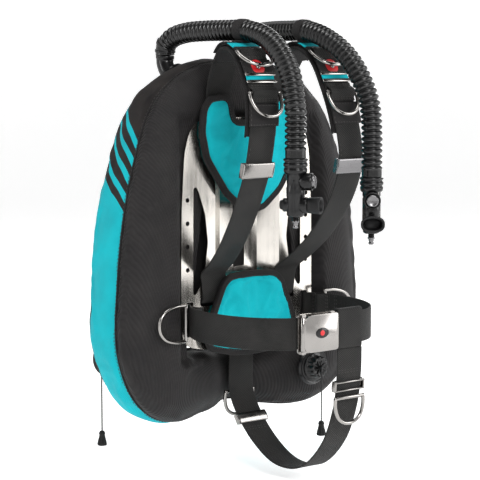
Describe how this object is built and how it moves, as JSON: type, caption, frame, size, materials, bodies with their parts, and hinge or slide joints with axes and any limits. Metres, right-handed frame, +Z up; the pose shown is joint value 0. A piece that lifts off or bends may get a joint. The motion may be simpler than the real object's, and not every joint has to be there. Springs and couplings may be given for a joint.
{
  "type": "buoyancy compensator vest",
  "caption": "Diving buoyancy vest: inflatable fabric ring on a steel backplate, webbing harness with metal rings and buckle, corrugated hoses with inflators, and pull dump valves.",
  "frame": {"origin": "rear face of the wing's centre panel, midway between its two bolt holes, where the tank lies", "axes": "+Z up along the tank; +Y away from the wearer, towards the tank; +X to the wearer's left"},
  "size_m": [0.5064, 0.4301, 0.7306],
  "materials": {
    "plate_steel": "stamped stainless plate, polished face",
    "hardware_steel": "polished stainless fittings",
    "teal_fabric": "woven teal nylon",
    "black_nylon": "ribbed black ballistic nylon",
    "webbing": "black diagonal-twill harness webbing",
    "bladder_film": "urethane film",
    "black_plastic": "moulded black plastic",
    "hose_rubber": "moulded black rubber",
    "cord": "braided pull cord"
  },
  "bodies": {
    "root": {"backplate": "plate_steel", "back_pad": "teal_fabric", "lumbar_pad": "teal_fabric", "wing_cover": "black_nylon", "primary_bladder": "bladder_film", "backup_bladder": "bladder_film", "wing_centre_panel": "black_nylon", "wing_screw_upper": "hardware_steel", "wing_screw_lower": "hardware_steel", "shoulder_strap_left": "webbing", "shoulder_pad_left": "teal_fabric", "strap_slider_left": "hardware_steel", "waist_belt_left": "webbing", "hose_elbow_left": "black_plastic", "hose_left": "hose_rubber", "hose_bend_left": "hose_rubber", "hose_band_left": "webbing", "shoulder_strap_right": "webbing", "shoulder_pad_right": "teal_fabric", "strap_slider_right": "hardware_steel", "waist_belt_right": "webbing", "hose_elbow_right": "black_plastic", "hose_right": "hose_rubber", "hose_bend_right": "hose_rubber", "hose_band_right": "webbing", "buckle_frame": "hardware_steel", "buckle_pin": "hardware_steel", "crotch_strap": "webbing", "crotch_slide_front": "hardware_steel", "crotch_slide_rear": "hardware_steel", "dump_flange_front": "black_plastic", "dump_cap_front": "black_plastic", "dump_flange_rear": "black_plastic", "dump_cap_rear": "black_plastic"},
    "chest_ring_upper_left": {"chest_ring_upper_left": "hardware_steel"},
    "chest_ring_lower_left": {"chest_ring_lower_left": "hardware_steel"},
    "waist_ring_left": {"waist_ring_left": "hardware_steel"},
    "inflator_left": {"inflator_body_left": "black_plastic", "mouthpiece_left": "hose_rubber", "lp_nipple_left": "hardware_steel"},
    "inflate_button_left": {"inflate_button_left": "hardware_steel"},
    "deflate_button_left": {"deflate_button_left": "hose_rubber"},
    "chest_ring_upper_right": {"chest_ring_upper_right": "hardware_steel"},
    "chest_ring_lower_right": {"chest_ring_lower_right": "hardware_steel"},
    "waist_ring_right": {"waist_ring_right": "hardware_steel"},
    "inflator_right": {"inflator_body_right": "black_plastic", "mouthpiece_right": "hose_rubber", "lp_nipple_right": "hardware_steel"},
    "inflate_button_right": {"inflate_button_right": "hardware_steel"},
    "deflate_button_right": {"deflate_button_right": "hose_rubber"},
    "buckle_flap": {"buckle_flap": "hardware_steel"},
    "crotch_ring_front": {"crotch_ring_front": "hardware_steel"},
    "dump_pull_front": {"pull_cord_front": "cord", "pull_knob_front": "hose_rubber"},
    "dump_stem_front": {"dump_stem_front": "black_plastic"},
    "crotch_ring_rear": {"crotch_ring_rear": "hardware_steel"},
    "dump_pull_rear": {"pull_cord_rear": "cord", "pull_knob_rear": "hose_rubber"},
    "dump_stem_rear": {"dump_stem_rear": "black_plastic"}
  },
  "joints": [
    {"name": "chest_ring_upper_left_swing", "type": "hinge", "parent": "root", "child": "chest_ring_upper_left", "pos_m": [0.07445, -0.13802, 0.30357], "axis": [-1, 0, 0], "range_deg": [0, 15]},
    {"name": "chest_ring_lower_left_swing", "type": "hinge", "parent": "root", "child": "chest_ring_lower_left", "pos_m": [0.07895, -0.17643, 0.23969], "axis": [-1, 0, 0], "range_deg": [0, 80]},
    {"name": "waist_ring_left_swing", "type": "hinge", "parent": "root", "child": "waist_ring_left", "pos_m": [0.1465, -0.0595, -0.132], "axis": [0, 0, -1], "range_deg": [0, 55]},
    {"name": "inflator_left_lift", "type": "hinge", "parent": "root", "child": "inflator_left", "pos_m": [0.078, -0.252, 0.156], "axis": [-1, 0, 0], "range_deg": [0, 90], "deforming": ["hose_bend_left"]},
    {"name": "inflate_button_left_press", "type": "slide", "parent": "inflator_left", "child": "inflate_button_left", "axis": [0.6198, 0.7848, 0], "range_m": [0, 0.003], "stiffness_N_per_m": 900, "springref_m": -0.001},
    {"name": "deflate_button_left_press", "type": "slide", "parent": "inflator_left", "child": "deflate_button_left", "axis": [-0.6198, -0.7848, 0], "range_m": [0, 0.003], "stiffness_N_per_m": 900, "springref_m": -0.001},
    {"name": "chest_ring_upper_right_swing", "type": "hinge", "parent": "root", "child": "chest_ring_upper_right", "pos_m": [-0.07445, -0.13802, 0.30357], "axis": [-1, 0, 0], "range_deg": [0, 15]},
    {"name": "chest_ring_lower_right_swing", "type": "hinge", "parent": "root", "child": "chest_ring_lower_right", "pos_m": [-0.07895, -0.17643, 0.23969], "axis": [-1, 0, 0], "range_deg": [0, 80]},
    {"name": "waist_ring_right_swing", "type": "hinge", "parent": "root", "child": "waist_ring_right", "pos_m": [-0.1465, -0.0595, -0.132], "axis": [0, 0, 1], "range_deg": [0, 55]},
    {"name": "inflator_right_lift", "type": "hinge", "parent": "root", "child": "inflator_right", "pos_m": [-0.078, -0.252, 0.192], "axis": [-1, 0, 0], "range_deg": [0, 90], "deforming": ["hose_bend_right"]},
    {"name": "inflate_button_right_press", "type": "slide", "parent": "inflator_right", "child": "inflate_button_right", "axis": [-0.6198, 0.7848, 0], "range_m": [0, 0.003], "stiffness_N_per_m": 900, "springref_m": -0.001},
    {"name": "deflate_button_right_press", "type": "slide", "parent": "inflator_right", "child": "deflate_button_right", "axis": [0.6198, -0.7848, 0], "range_m": [0, 0.003], "stiffness_N_per_m": 900, "springref_m": -0.001},
    {"name": "buckle_flap_open", "type": "hinge", "parent": "root", "child": "buckle_flap", "pos_m": [-0.065, -0.25605, -0.132], "axis": [0, 0, -1], "range_deg": [0, 86]},
    {"name": "crotch_ring_rear_swing", "type": "hinge", "parent": "root", "child": "crotch_ring_rear", "pos_m": [0, -0.00935, -0.266], "axis": [1, 0, 0], "range_deg": [0, 25]},
    {"name": "crotch_ring_front_swing", "type": "hinge", "parent": "root", "child": "crotch_ring_front", "pos_m": [0.03299, -0.25336, -0.24229], "axis": [-1, 0, 0], "range_deg": [0, 90]},
    {"name": "dump_front_pull", "type": "slide", "parent": "root", "child": "dump_pull_front", "axis": [0, 0, -1], "range_m": [0, 0.01], "stiffness_N_per_m": 400, "springref_m": -0.001},
    {"name": "dump_front_stem", "type": "slide", "parent": "root", "child": "dump_stem_front", "axis": [0, -1, 0], "range_m": [0, 0.004]},
    {"name": "dump_rear_pull", "type": "slide", "parent": "root", "child": "dump_pull_rear", "axis": [0, 0, -1], "range_m": [0, 0.01], "stiffness_N_per_m": 400, "springref_m": -0.001},
    {"name": "dump_rear_stem", "type": "slide", "parent": "root", "child": "dump_stem_rear", "axis": [0, 1, 0], "range_m": [0, 0.004]}
  ],
  "couplings": [
    {"joint": "dump_front_stem", "follows": "dump_front_pull", "ratio": 0.4},
    {"joint": "dump_rear_stem", "follows": "dump_rear_pull", "ratio": 0.4}
  ]
}
